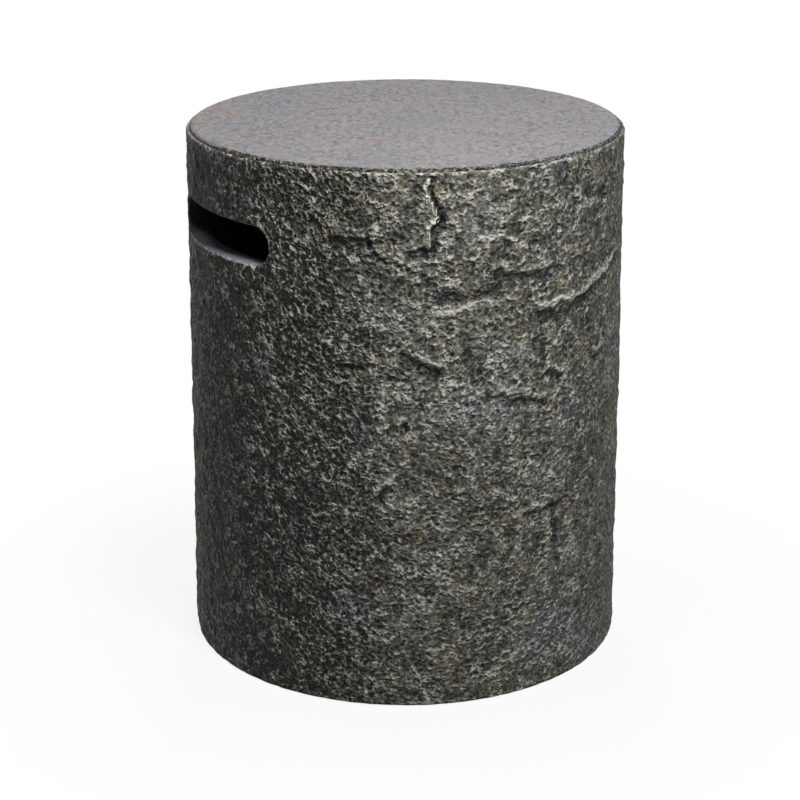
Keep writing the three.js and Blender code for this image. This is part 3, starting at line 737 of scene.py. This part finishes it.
def split_stone():
    tints = settings("colours")
    finish, here = new_finish("split_stone")
    hollow, bare, basin, ledge = (finish.attribute(name) for name in ("hollow", "bare", "basin", "ledge"))

    drifted = finish.shifted(here, 12.0, 2.4)
    leaning = finish.noise(finish.leaned(drifted, 0.24, 0.94), 5.2, 1.0, 0.4)
    level_rows = finish.noise(finish.stretched(drifted, (0.9, 0.9, 1.0)), 5.2, 1.0, 0.4)
    rightwards = finish.along(here, "X").eased(-195, -90, 0.0, 1.0)
    which = (finish.noise(here, 45.0, 1.0).eased(0.42, 0.58, -0.4, 0.4) + rightwards + 0.15).clamped()
    lump = leaning * (1 - which) + level_rows * which
    grain = finish.noise(finish.shifted(here, 3.8, 1.5), 3.1, 1.0, 0.36)
    patch = finish.noise(here, 16.0, 2.0, 0.55)
    broad = finish.noise(here, 70.0, 2.0, 0.5)

    rough = patch.eased(0.36, 0.62, 0.6, 1.25) * rightwards.eased(0, 1, 1.6, 0.95)
    fleck = finish.noise(finish.shifted(here, 5.0, 1.2), 3.2, 1.4, 0.5)
    loops = abs(finish.noise(finish.shifted(here, 9.0, 2.0), 6.8, 1.0, 0.4) - 0.5)
    network = (loops - (fleck - 0.5) * 0.3).eased(-0.03, 0.12, 0.6, -0.4)
    height = ((lump - 0.5) * 4.8 + (grain - 0.5) * 2.0 + network * 0.6) * rough
    # Ledges: their proud edges are lighter, as dry-brushed, and the hollow beside each is darker, the dark
    # base coat there plus painted shade under the ledge
    ledge_brush_and_shade = (0 - ledge).eased(0.5, 2.0, 0, 1.5) - ledge.eased(0.5, 2.2, 0, 0.85)
    # Painted shade: the upper part of the side towards +X is darkened, standing in for less light falling
    # there
    upper_right_painted_shade = finish.along(here, "Z").eased(300, 480) * finish.along(here, "X").eased(-60, 80, 0, -0.25)
    # Partly painted shade: the colour follows the relief, so low spots, hollows and broad basins go towards
    # the dark base coat, which also stands in for the shadow the fine relief can't cast; crests lighten as
    # dry-brushed
    level = height * 0.6 + (fleck - 0.5) * 1.8 + network * 1.15 - 0.1 + (patch - 0.5) * 3.2
    level = level + (broad - 0.5) * 1.8 - hollow.math("MINIMUM", hollow, 0.8) * 0.65 - basin * 0.5
    # Painted light and shade on the side towards -X: its contrast is raised and its colour darkened,
    # standing in for the dim raking light there
    level = (level + ledge_brush_and_shade + upper_right_painted_shade) * rightwards.eased(0, 1, 1.5, 1.0)
    level = level - rightwards.eased(0, 1, 0.3, 0)
    crest = level.eased(-0.4, 1.9)
    pit = level.eased(-1.6, -0.1)

    # Painted shade in the low spots: where the level falls the tone goes to the dark base coat, which also
    # stands in for the shadow of the fine relief
    deep = finish.mix(grain.eased(0.36, 0.64), scaled(tints.hollow, 0.35), scaled(tints.hollow, 1.4))
    tone = finish.mix(pit, deep, tints.body)
    tone = finish.mix(finish.noise(here, 17.0, 2.0).eased(0.52, 0.7, 0, 0.7) * pit, tone, tints.warm)
    slate = (broad.eased(0.52, 0.7, 0, 0.5) + basin.eased(0.2, 0.7, 0, 0.5)).clamped()
    tone = finish.mix(slate * pit, tone, tints.cool)
    tone = finish.mix(crest, tone, tints.crest)
    tone = finish.mix((0 - ledge).eased(1.4, 2.8, 0, 0.55), tone, scaled(tints.crest, 1.5))
    across_seam = (math.cos(SEAM_BEARING), math.sin(SEAM_BEARING), 0)
    seam = finish.vector("DOT_PRODUCT", here, across_seam, output="Value")
    half = (seam + (patch - 0.5) * 20).eased(-4, 4, 0.18, 0)
    # Painted shade: the side towards +X darkens, up to 30%, standing in for the light falling off round the
    # drum; the half beyond the mould seam is a little darker in its own colour
    right_side_painted_shade = finish.along(here, "X").eased(10, 150, 0, 0.3)
    tone = finish.mix(half + right_side_painted_shade, tone, (0, 0, 0))

    # Painted light and shade on the bare concrete: faces that look up, such as the hand holds' floors, get
    # the lighter tone as if lit from above, the others the darker; it fades towards +Y and noise breaks it
    # up
    facing = finish.node("ShaderNodeNewGeometry", {}, {}, "Normal")
    painted_light_from_above = finish.along(facing, "Z").eased(0.3, 0.8) * finish.along(here, "Y").eased(-50, 30, 1.0, 0.25)
    cast_tone = finish.mix(painted_light_from_above * finish.noise(here, 9, 4, 0.6).eased(0.38, 0.6, 0.45, 1.0),
                           scaled(tints.cast, 0.6), scaled(tints.cast, 1.35))
    cast_height = finish.noise(here, 7, 3, 0.6) * 1.5 + finish.noise(here, 2.4, 2, 0.6) * 0.8
    stone = 1 - bare.eased(0.42, 0.55)
    # Painted highlight along the hand holds' mouths: a lightened concrete colour, broken up by the flecks
    lip = finish.attribute("mouth").eased(0.4, 2.6, 1.0, 0.0) * stone
    tone = finish.mix(lip * fleck.eased(0.35, 0.6, 0.4, 1.0), tone, scaled(tints.cast, 2.6))
    tone = finish.mix(finish.attribute("washed"), tone, tints.top)
    relief = stone * (1 - lip * 0.7) * height + (1 - stone) * cast_height * 0.4
    return finish.paint(
        Base_Color=finish.mix(stone, cast_tone, tone),
        Roughness=0.66 - crest * 0.12,
        Normal=finish.bump(relief, 0.92 * MM),
        Specular_IOR_Level=0.11,
    )


def smooth_stone():
    tints = settings("colours")
    finish, here = new_finish("smooth_stone")
    edge = finish.attribute("edge")
    floated = finish.stretched(finish.turned(here, FLOAT_BEARING), (1.0, 0.5, 1.0))
    grain = finish.noise(finish.shifted(floated, 12.0, 4.0), 6.5, 3.0, 0.68)
    fleck = finish.noise(floated, 4.2, 2.0, 0.6)
    cloud = finish.noise(here, 60.0, 3.0, 0.55)
    bloom = finish.noise(here, 24.0, 4.0, 0.62)
    worn = finish.noise(here, 38.0, 2.0).eased(0.35, 0.6, 0.45, 1.0)
    tone = finish.mix(cloud.eased(0.4, 0.62, 0, 0.95), tints.top, tints.top_cool)
    tone = finish.mix(bloom.eased(0.46, 0.68, 0, 0.8), tone, tints.top_warm)
    tone = finish.mix(grain.eased(0.4, 0.54, 0.7, 0) * worn, tone, scaled(tints.top, 0.5))
    tone = finish.mix(fleck.eased(0.47, 0.6, 0, 0.45) * worn, tone, scaled(tints.top, 1.45))
    ragged = (edge + (finish.noise(here, 4.0, 3.0, 0.6) - 0.5) * 1.6).eased(0.42, 0.68)
    stipple = finish.noise(finish.shifted(here, 6.0, 2.0), 3.6, 2.0, 0.6)
    stroke = (stipple - 0.5) * 8.0
    band = finish.mix(stroke.eased(-1.4, 0), tints.hollow, tints.shoulder)
    band = finish.mix(stroke.eased(-0.4, 1.3), band, scaled(tints.crest, 0.7))
    relief = (grain * 1.5 + fleck * 2.0) * (1 - ragged) * 0.38 + ragged * stroke
    return finish.paint(
        Base_Color=finish.mix(ragged, tone, band),
        Roughness=0.72 - grain * 0.15,
        Normal=finish.bump(relief, 1.4 * MM),
        Specular_IOR_Level=0.10,
    )


def flecked(name, flecks, spread, share, rough, vary, depth, fine=None, **plain):
    """A finish whose flecks vary its tint and gloss, made uneven by them or by a finer noise"""
    finish, here = new_finish(name)
    tint = getattr(settings("colours"), name)
    fleck = finish.noise(here, *flecks)
    return finish.paint(
        Base_Color=finish.mix(fleck.eased(*spread), tint, scaled(tint, share)),
        Roughness=rough + fleck * vary if vary else rough,
        Normal=finish.bump(finish.noise(here, fine) if fine else fleck, depth * MM),
        **plain,
    )


def mortar():
    return flecked("mortar", (1.1, 3.0, 0.7), (0.35, 0.7), share=2.2, rough=0.95, vary=0, depth=0.5)


def rubber():
    return flecked("rubber", (3.0, 3.0, 0.6), (0.4, 0.75), share=3.0, rough=0.62, vary=0.25, depth=0.05,
                   fine=0.5)


def nylon():
    return flecked("nylon", (2.4,), (0.35, 0.7), share=0.82, rough=0.38, vary=0.2, depth=0.03, fine=0.8,
                   Subsurface_Weight=0.1)


def steel():
    return flecked("steel", (0.9, 3.0, 0.6), (0.35, 0.7), share=0.7, rough=0.3, vary=0.2, depth=0.04,
                   Metallic=1.0)


# Pieces

def bend_to_drum(bm, radius):
    """Bends a cutter, built flat across Y, round the drum's axis"""
    for vert in bm.verts:
        vert.co.x -= radius - math.sqrt(radius ** 2 - vert.co.y ** 2)


def quarter(lip, turn):
    """How far a rounded mouth has come in, and how far it has opened, at a turn of its arc"""
    return lip * (1 - math.sin(turn)), lip * (1 - math.cos(turn))


def mouth_cutter(width, height, corner, centre, lip, bearing):
    """Cutter for an opening with rounded mouths: a rounded face drawn through the wall ring by ring"""
    outside = face_radius(centre) - mean_depth()
    inside = face_radius(centre) - settings("drum").thickness
    bm = bmesh.new()
    grid = bmesh.ops.create_grid(bm, x_segments=1, y_segments=1, size=0.5)
    bmesh.ops.rotate(bm, verts=grid["verts"], matrix=Matrix.Rotation(math.pi / 2, 3, "Y"))
    bmesh.ops.scale(bm, verts=grid["verts"], vec=(1, width, height))
    bmesh.ops.bevel(bm, geom=grid["verts"], offset=corner, offset_type="OFFSET", segments=9,
                    profile=0.5, affect="VERTICES", material=-1)
    split_edges(bm, [e for e in bm.edges if e.calc_length() > 2 * corner], FLAT_SPACING)

    rings = [(inside - INNER_OVERRUN, lip)]
    for step in range(MOUTH_STEPS + 1):
        run, opened = quarter(lip, math.pi / 2 * (1 - step / MOUTH_STEPS))
        rings.append((inside + run, opened))
    for step in range(MOUTH_STEPS + 1):
        run, opened = quarter(lip, MOUTH_FLARE * step / MOUTH_STEPS)
        rings.append((outside - run, opened))
    rings.append((rings[-1][0] + FLARE_RUN, rings[-1][1] + FLARE_RUN * math.tan(MOUTH_FLARE)))
    rings.append((outside + OUTER_OVERRUN, rings[-1][1]))
    (face,) = bm.faces
    bmesh.ops.translate(bm, verts=list(bm.verts), vec=(rings[0][0], 0, centre))
    straight = [max(size / 2 - corner, 0) for size in (width, height)]

    def grow(verts, offset):
        """Moves a ring of the cutter outwards to an offset from the bare opening"""
        for vert in verts:
            flat = Vector((vert.co.y, vert.co.z - centre))
            core = Vector([min(max(value, -half), half) for value, half in zip(flat, straight)])
            reach = core + (flat - core).normalized() * (corner + offset)
            vert.co.y, vert.co.z = reach.x, centre + reach.y

    grow(face.verts, rings[0][1])
    for (start, _), (end, offset) in zip(rings, rings[1:]):
        drawn = bmesh.ops.extrude_face_region(bm, geom=[face])
        if start != rings[0][0]:  # the first face stays, and closes the cutter's inner end
            bm.faces.remove(face)
        face = next(g for g in drawn["geom"] if isinstance(g, bmesh.types.BMFace))
        bmesh.ops.translate(bm, verts=list(face.verts), vec=(end - start, 0, 0))
        grow(face.verts, offset)
    bend_to_drum(bm, outside)
    bmesh.ops.recalc_face_normals(bm, faces=list(bm.faces))
    bmesh.ops.rotate(bm, verts=list(bm.verts), matrix=Matrix.Rotation(bearing - math.pi / 2, 3, "Z"))
    return bm


def join_meshes(parts, name):
    """One object from several bmeshes"""
    mesh = bpy.data.meshes.new(name)
    whole = bmesh.new()
    for part in parts:
        scrap = bpy.data.meshes.new("scrap")
        part.to_mesh(scrap)
        part.free()
        whole.from_mesh(scrap)
        bpy.data.meshes.remove(scrap)
    whole.to_mesh(mesh)
    whole.free()
    return linked(name, mesh)


def pocket(degrees, reach, low, high):
    """Round cutter at a foot"""
    bm = outline([(0, low), (reach, low), (reach, high), (0, high)])
    spin_outline(bm, 32)
    move_to_foot(bm, degrees)
    return bm


def move_to_foot(bm, degrees):
    reach, bearing = settings("foot").place, math.radians(degrees)
    place = (reach * math.sin(bearing), -reach * math.cos(bearing), 0)
    bmesh.ops.translate(bm, verts=list(bm.verts), vec=place)


def washed_side(bearing, low=0.82, high=0.94):
    """1 on the side where the rim is worn to the top's colour, 0 on the others"""
    return ease(np.cos(bearing - WASHED_BEARING), low, high)


class OBJECT_OT_tank_cover_wall(bpy.types.Operator):
    """Drum wall of split stone, with both hand holds, the hose notch and the pockets for the feet"""

    bl_idname = "tank_cover.wall"
    bl_label = "Drum wall"

    def execute(self, context):
        sizes = settings("drum")
        wall = finish_mesh(self.blank(sizes), "drum_wall_stone", split_stone())
        rows = round((sizes.rim_top - sizes.standoff) / sizes.row_height * 2)
        chart = ReliefChart(sizes.columns * 2, rows)
        self.carve(wall.data, sizes, chart)
        cut_away(wall, join_meshes(self.openings(sizes, settings("foot")), "openings"))
        self.measure(wall.data, sizes, chart)
        smooth_but_creases(wall.data, 62)
        mounted(wall, "drum_wall")
        return {"FINISHED"}

    @staticmethod
    def blank(sizes):
        """The plain turned wall, before its relief and openings"""
        bottom, top = sizes.standoff, sizes.rim_top
        bore_low, bore_high = (face_radius(z) - sizes.thickness for z in (bottom, sizes.seat))
        bm = outline([
            (face_radius(bottom), bottom), (face_radius(top), top), (sizes.rebate, top),
            (sizes.rebate, sizes.seat), (bore_high, sizes.seat), (bore_low, bottom),
        ])
        outside = [e for e in bm.edges if all(v.co.x > face_radius(v.co.z) - MM for v in e.verts)]
        bore = [e for e in bm.edges if edge_rise(e) > sizes.overall_height / 2 and e not in outside]
        split_edges(bm, outside, sizes.row_height)
        split_edges(bm, bore, sizes.bore_row_height)
        level = [e for e in bm.edges if e.calc_length() > FLAT_SPACING and edge_rise(e) < MM]
        split_edges(bm, level, FLAT_SPACING)
        for z in (bottom, top):
            round_corner(bm, face_radius(z), z, sizes.arris, 2)
        spin_outline(bm, sizes.columns)
        return bm

    @staticmethod
    def carve(mesh, sizes, chart):
        """Lowers the stone face to its relief, and makes the bore a little uneven"""
        places = coordinates(mesh)
        bearing, radius, height = round_axis(places)
        depth = chart.read(chart.depth, bearing, height)
        face = face_radius(height)
        inner = np.where(height > sizes.seat - MM, sizes.rebate, face - sizes.thickness * 0.7)
        share = np.clip((radius - inner) / (face - sizes.arris - inner), 0, 1)
        new_radius = np.minimum(radius - depth * share, box_radius(bearing))
        is_bore = (radius < inner) & (height < sizes.seat - MM) & (height > sizes.standoff + MM)
        uneven = (turn_noise(bearing, height, *BORE_CELLS) - 0.5) * UNEVENNESS
        new_radius += np.where(is_bore, uneven, 0)
        places[:, :2] *= (new_radius / radius)[:, None]
        place_vertices(mesh, places)

    @staticmethod
    def openings(sizes, foot):
        """Cutters for both hand holds, the notch and the pockets of the feet"""
        hold = (sizes.hold_width, sizes.hold_height, sizes.hold_corner, sizes.hold_centre, sizes.hold_lip)
        notch = (sizes.notch_width, sizes.notch_height + sizes.notch_width + NOTCH_OVERRUN,
                 sizes.notch_width / 2 - HAIR,
                 (sizes.notch_height - sizes.notch_width - NOTCH_OVERRUN) / 2, sizes.notch_lip)
        cutters = [mouth_cutter(*hold, -math.pi / 2), mouth_cutter(*hold, math.pi / 2),
                   mouth_cutter(*notch, math.pi)]
        for degrees in FEET.values():
            cutters.append(pocket(degrees, foot.pad_radius + FIT_GAP, -foot.pad_height, foot.pad_height))
            cutters.append(pocket(degrees, foot.anchor_radius + FIT_GAP, foot.pad_height - MM,
                                  foot.anchor_top + FIT_GAP))
        return cutters

    @staticmethod
    def measure(mesh, sizes, chart):
        """Writes what the finish needs at each vertex, depths and distances in millimetres"""
        bearing, radius, height = round_axis(coordinates(mesh))
        brushed_rim, washed_rim, drips = (
            ease(height, sizes.rim_top - start, sizes.rim_top - full)
            for start, full in (RIM_BRUSHED, RIM_WASHED, RIM_DRIPS))
        hollow, ledge, basin, depth = (
            chart.read(layer, bearing, height)
            for layer in (chart.hollow / MM, chart.ledge / MM, chart.basin / MM, chart.depth))
        expected = np.minimum(face_radius(height) - depth, box_radius(bearing))
        bare = np.clip((expected - radius) / (3 * MM), 0, 1)
        bare[height > sizes.seat + MM] = 0
        brushed = ease(turn_noise(bearing, height, *BRUSH_CELLS), 0.35, 0.75)
        hollow -= 1.5 * brushed * brushed_rim
        washed_rim *= washed_side(bearing)
        drips *= 0.4 * washed_side(bearing, 0.93, 0.985)
        for name, values in (("hollow", hollow), ("ledge", ledge), ("basin", basin)):
            write_attribute(mesh, name, np.where(bare > 0.3, 0, values))
        write_attribute(mesh, "washed", np.maximum(washed_rim, drips))
        write_attribute(mesh, "bare", bare)
        write_attribute(mesh, "mouth", from_holds(bearing, height) / MM)


class OBJECT_OT_tank_cover_slab(bpy.types.Operator):
    """Smooth top slab with its dark rounded shoulder"""

    bl_idname = "tank_cover.slab"
    bl_label = "Top slab"

    def execute(self, context):
        sizes, top = settings("slab"), settings("drum").overall_height
        underside, flange = top - sizes.thickness, top - sizes.flange
        bm = outline([(0, underside), (sizes.spigot, underside), (sizes.spigot, flange),
                      (sizes.radius, flange), (sizes.radius, top), (0, top)])
        spokes = [e for e in bm.edges if min(v.co.x for v in e.verts) < MM and
                  max(v.co.x for v in e.verts) > MM]
        split_edges(bm, spokes, sizes.ring)
        round_corner(bm, sizes.radius, top, sizes.shoulder, 6)
        round_corner(bm, sizes.radius, flange, 0.6 * MM, 2)
        round_corner(bm, sizes.spigot, underside, sizes.spigot_break, 3)
        spin_outline(bm, sizes.columns)
        slab = finish_mesh(bm, "top_slab_cast", smooth_stone())
        places = coordinates(slab.data)
        bearing, radius, height = round_axis(places)
        upper = ease(height, top - sizes.shoulder, top)
        wave = turn_noise(bearing, radius, *TROWEL_CELLS) * 0.6
        wave += turn_noise(bearing, radius, *TROWEL_FINE_CELLS) * 0.4
        places[:, 2] -= upper * wave * sizes.sag * ease(radius, 0.004, 0.03)
        rim = ease(radius, sizes.radius - 2 * sizes.shoulder, sizes.radius)
        wobble = (turn_noise(bearing, height, *SHOULDER_CELLS) - 0.5) * UNEVENNESS * rim * upper
        places[:, 2] -= np.abs(wobble)
        place_vertices(slab.data, places)
        drop = np.maximum(radius - (sizes.radius - sizes.shoulder), 0) / sizes.shoulder
        washed = drop - 1.2 * washed_side(bearing)
        write_attribute(slab.data, "edge", np.where(height > flange - MM, washed, 0))
        mounted(slab, "top_slab")
        return {"FINISHED"}


class OBJECT_OT_tank_cover_mortar(bpy.types.Operator):
    """Mortar ring that beds the slab on the rim"""

    bl_idname = "tank_cover.mortar"
    bl_label = "Mortar bed"

    def execute(self, context):
        sizes, drum = settings("slab"), settings("drum")
        low, high = drum.seat, drum.overall_height - sizes.flange
        bm = outline([(sizes.mortar_inner, low), (sizes.mortar_outer, low),
                      (sizes.mortar_outer, high), (sizes.mortar_inner, high)])
        for radius in (sizes.mortar_inner, sizes.mortar_outer):
            for height in (low, high):
                round_corner(bm, radius, height, SMALL_BREAK, 2)
        spin_outline(bm, 180)
        bed = finish_mesh(bm, "bond_bed_mortar", mortar())
        places = coordinates(bed.data)
        bearing, radius, _ = round_axis(places)
        inwards = np.where(radius < (sizes.mortar_inner + sizes.mortar_outer) / 2, 1, -1)
        squeeze = turn_noise(bearing, radius * 0, *MORTAR_CELLS) * inwards * sizes.mortar_wander
        places[:, :2] *= ((radius + squeeze) / radius)[:, None]
        place_vertices(bed.data, places)
        mounted(bed, "bond_bed")
        return {"FINISHED"}


class OBJECT_OT_tank_cover_feet(bpy.types.Operator):
    """Rubber pads, screws and nylon anchors under the wall"""

    bl_idname = "tank_cover.feet"
    bl_label = "Feet"

    def execute(self, context):
        black, plastic, metal = rubber(), nylon(), steel()
        for place, degrees in FEET.items():
            for kind, build, material, slot in (
                    ("foot_pad", self.pad, black, "rubber"), ("foot_screw", self.screw, metal, "steel"),
                    ("foot_plug", self.anchor, plastic, "nylon")):
                bm = build()
                move_to_foot(bm, degrees)
                node = f"{kind}_{place}"
                mounted(finish_mesh(bm, f"{node}_{slot}", material), node)
        return {"FINISHED"}

    @staticmethod
    def pad():
        foot = settings("foot")
        groove = (foot.counterbore + foot.pad_radius) / 2
        mouth, root = 0.45 * MM, 0.2 * MM
        bm = outline([
            (foot.counterbore, 0), (groove - mouth, 0), (groove - root, foot.pad_rib),
            (groove + root, foot.pad_rib), (groove + mouth, 0), (foot.pad_radius, 0),
            (foot.pad_radius, foot.pad_height), (foot.pad_hole, foot.pad_height),
            (foot.pad_hole, foot.head_seat), (foot.counterbore, foot.head_seat),
        ])
        round_corner(bm, foot.pad_radius, 0, foot.pad_edge, 4)
        round_corner(bm, foot.counterbore, 0, SMALL_BREAK, 2)
        spin_outline(bm, 48)
        return bm

    @staticmethod
    def screw():
        foot = settings("foot")
        bm = outline([
            (0, foot.head_low), (foot.head_radius, foot.head_low), (foot.head_radius, foot.head_seat),
            (foot.core_radius, foot.head_seat), (foot.core_radius, foot.screw_tip - foot.screw_point),
            (0, foot.screw_tip),
        ])
        shank = [e for e in bm.edges if max(v.co.x for v in e.verts) < foot.core_radius + 1e-6 and
                 max(v.co.z for v in e.verts) > foot.head_seat + MM and e.calc_length() < 0.02]
        split_edges(bm, shank, foot.pitch / 4)
        round_corner(bm, foot.head_radius, foot.head_low, 0.9 * MM, 4)
        spin_outline(bm, 24)
        for vert in bm.verts:
            height, radius = vert.co.z, math.hypot(vert.co.x, vert.co.y)
            if height > foot.head_seat + foot.pitch / 2 and radius > 0.1 * MM:
                turn = (height / foot.pitch - math.atan2(vert.co.y, vert.co.x) / TURN) % 1
                crest = max(0, 1 - abs(turn - 0.5) * 4) * (foot.thread_radius - foot.core_radius)
                vert.co.xy *= (radius + crest) / radius
        cross = bmesh.new()
        blade, reach = 0.35 * MM, 0.9 * MM
        for wide, deep in ((foot.drive, blade), (blade, foot.drive)):
            made = bmesh.ops.create_cube(cross, size=2)
            bmesh.ops.scale(cross, verts=made["verts"], vec=(wide, deep, reach))
            bmesh.ops.translate(cross, verts=made["verts"], vec=(0, 0, foot.head_low))
        blank = finish_mesh(bm, "blank", bpy.data.materials.new("blank"))
        cut_away(blank, join_meshes([cross], "cross"))
        bm = bmesh.new()
        bm.from_mesh(blank.data)
        bpy.data.objects.remove(blank)
        return bm

    @staticmethod
    def anchor():
        foot = settings("foot")
        low, high = foot.pad_height, foot.anchor_top
        barbs, land, step = 7, 0.35, 0.1 * MM
        rise = (high - low) / barbs
        outside = []
        for barb in range(barbs):
            start = low + barb * rise
            outside += [(foot.anchor_radius, start), (foot.anchor_radius, start + land * rise),
                        (foot.anchor_root, start + rise - step)]
        bm = outline([(foot.anchor_bore, low), *outside, (foot.anchor_bore, high)])
        spin_outline(bm, 32)
        return bm


def direction(bearing, rise):
    """Unit vector from the axis towards a bearing and a rise"""
    return Vector((math.sin(bearing) * math.cos(rise), -math.cos(bearing) * math.cos(rise), math.sin(rise)))


def aimed(name, data, aim, away, distance):
    """Lamp or camera that looks at a point from a distance"""
    made = linked(name, data)
    made.location = aim + away * distance
    made.rotation_euler = (-away).to_track_quat("-Z", "Y").to_euler()
    return made


class OBJECT_OT_tank_cover_stage(bpy.types.Operator):
    """Pale floor, soft boxes and the camera"""

    bl_idname = "tank_cover.stage"
    bl_label = "Stage"

    def execute(self, context):
        stage = settings("stage")
        self.floor(stage)
        self.world(stage)
        for name, (bearing, rise, distance, diameter) in LAMPS.items():
            data = bpy.data.lights.new(name, "AREA")
            data.shape, data.size, data.energy = "DISK", diameter, getattr(stage, name + "_power")
            away = direction(math.radians(bearing), math.radians(rise))
            lamp = aimed(name, data, Vector((0, 0, LAMP_AIM_HEIGHT)), away, distance)
            lamp.visible_glossy = name != "back"  # the lamp behind would glare off the top
        data = bpy.data.cameras.new("camera")
        data.lens, data.sensor_width = stage.lens, SENSOR_WIDTH
        side = Vector((math.cos(stage.bearing), math.sin(stage.bearing), 0))
        aim = side * stage.aim_side + Vector((0, 0, stage.aim_height))
        away = direction(stage.bearing, stage.rise)
        context.scene.camera = aimed("camera", data, aim, away, stage.distance)
        context.scene.view_settings.view_transform = "Standard"
        return {"FINISHED"}

    @staticmethod
    def floor(stage):
        """Pale floor that keeps the object's shadow, and is plain white further off"""
        bm = bmesh.new()
        bmesh.ops.create_circle(bm, cap_ends=True, segments=96, radius=stage.floor_radius)
        finish, here = new_finish("floor")
        shade = finish.mix(finish.noise(here, 40), (0.80, 0.80, 0.80), (0.82, 0.82, 0.82))
        matt = finish.node("ShaderNodeBsdfDiffuse", {}, {"Color": shade})
        dim = finish.node("ShaderNodeBsdfDiffuse", {}, {"Color": (0.14, 0.14, 0.14)})
        white = finish.node("ShaderNodeEmission", {}, {"Color": (1, 1, 1), "Strength": 1.0})
        away = finish.vector("LENGTH", finish.place(1.0), output="Value")
        share = away.eased(*FLOOR_FADE, stage.floor_white, 1.0) * away.eased(*FLOOR_CONTACT)
        look = finish.node("ShaderNodeMixShader", {}, {0: share, 1: matt, 2: white})
        both = finish.node("ShaderNodeMixShader", {}, {0: finish.seen(), 1: dim, 2: look})
        finish.feed(finish.tree.nodes["Material Output"].inputs["Surface"], both)
        floor = finish_mesh(bm, "floor", finish.owner)

    @staticmethod
    def world(stage):
        """White where it is seen, and faint as light"""
        world = bpy.data.worlds.new("studio")
        bpy.context.scene.world = world
        finish = Finish(world, "Background")
        finish.paint(Color=(1, 1, 1), Strength=finish.seen().eased(0, 1, stage.ambient, 1.0))


class VIEW3D_PT_tank_cover(bpy.types.Panel):
    """Lists the steps that build the table"""

    bl_idname = "VIEW3D_PT_tank_cover"
    bl_label = "Tank cover table"
    bl_space_type = "VIEW_3D"
    bl_region_type = "UI"
    bl_category = "Tank cover"

    def draw(self, context):
        for step in STEPS:
            self.layout.operator(step.bl_idname)
        for group, kind in GROUPS.items():
            values = settings(group)
            box = self.layout.box()
            box.label(text=kind.__doc__)
            for name in kind.__annotations__:
                box.prop(values, name)


STEPS = (OBJECT_OT_tank_cover_wall, OBJECT_OT_tank_cover_slab, OBJECT_OT_tank_cover_mortar,
         OBJECT_OT_tank_cover_feet, OBJECT_OT_tank_cover_stage)


def register():
    for group, kind in GROUPS.items():
        bpy.utils.register_class(kind)
        setattr(bpy.types.Scene, "tank_cover_" + group, PointerProperty(type=kind))
    for kind in (*STEPS, VIEW3D_PT_tank_cover):
        bpy.utils.register_class(kind)


def unregister():
    for kind in (VIEW3D_PT_tank_cover, *reversed(STEPS)):
        bpy.utils.unregister_class(kind)
    for group, kind in reversed(GROUPS.items()):
        delattr(bpy.types.Scene, "tank_cover_" + group)
        bpy.utils.unregister_class(kind)


def main():
    register()
    bpy.ops.tank_cover.wall()
    bpy.ops.tank_cover.slab()
    bpy.ops.tank_cover.mortar()
    bpy.ops.tank_cover.feet()
    bpy.ops.tank_cover.stage()


if __name__ == "__main__":
    main()
